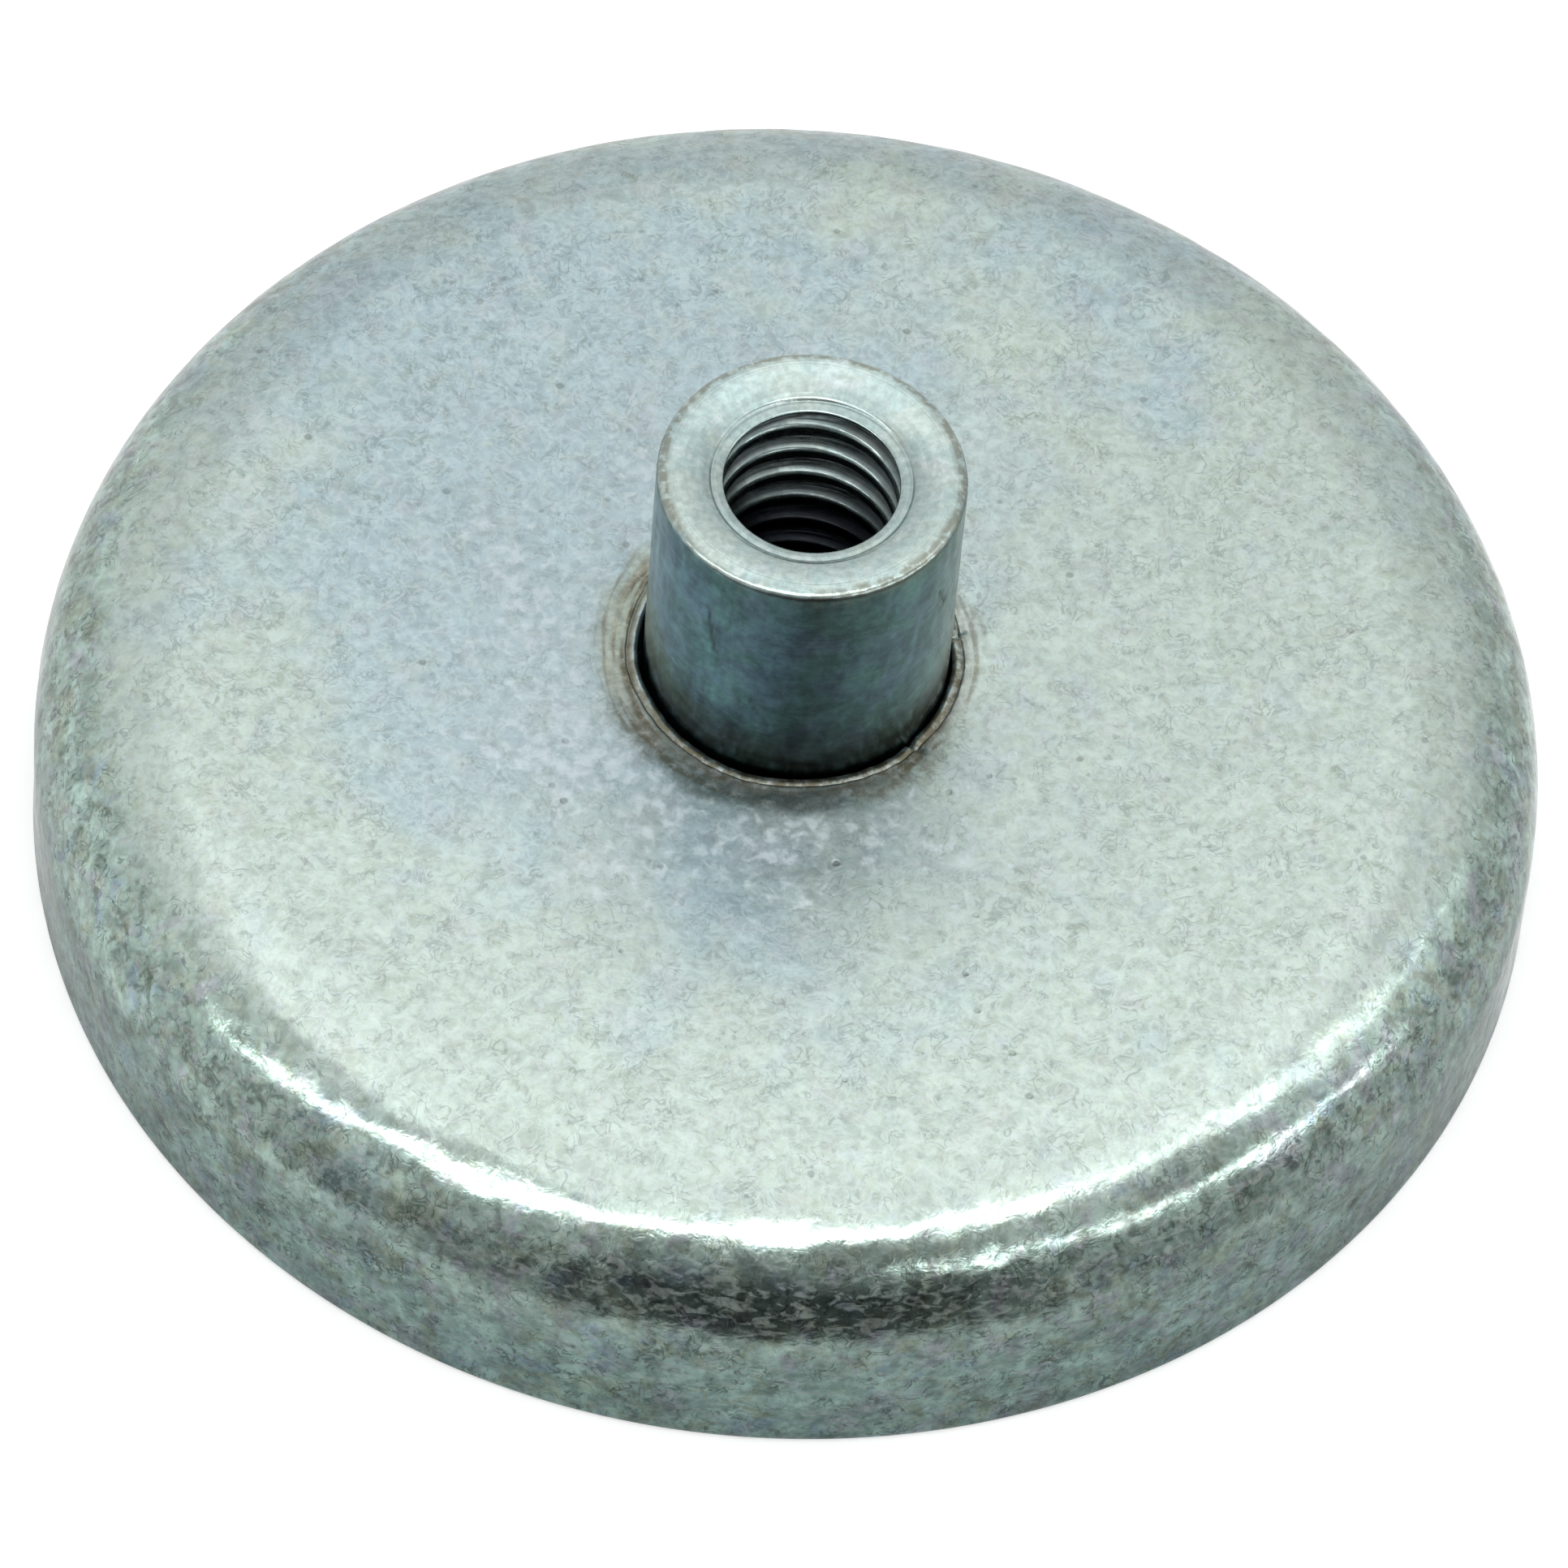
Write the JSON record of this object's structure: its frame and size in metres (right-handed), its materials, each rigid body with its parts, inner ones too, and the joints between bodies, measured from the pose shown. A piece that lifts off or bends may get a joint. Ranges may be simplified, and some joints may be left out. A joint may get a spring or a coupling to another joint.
{
  "type": "magnet fishing magnet",
  "caption": "Round steel pot magnet with a rounded back and a threaded bushing standing in its centre, to take an eye bolt for magnet fishing.",
  "frame": {"origin": "centre of the working face, in the plane of the cup's rim, which is the bottom of the part", "axes": "+Z along the bushing, out of the back of the cup; the part is round, so X and Y are free"},
  "size_m": [0.057, 0.057, 0.0214],
  "materials": {
    "zinc_plated_cup": "satin blue-white passivated zinc plate on stamped steel, finely mottled",
    "zinc_plated_bushing": "satin blue-white passivated zinc plate on turned steel",
    "ferrite": "matte sintered ferrite, charcoal grey, with a ground face",
    "potting_resin": "satin cast epoxy, grey-brown"
  },
  "bodies": {
    "root": {"steel_cup": "zinc_plated_cup", "threaded_bushing": "zinc_plated_bushing", "ring_magnet": "ferrite", "bond_film": "potting_resin", "outer_potting_ring": "potting_resin", "inner_potting_ring": "potting_resin"}
  },
  "joints": []
}
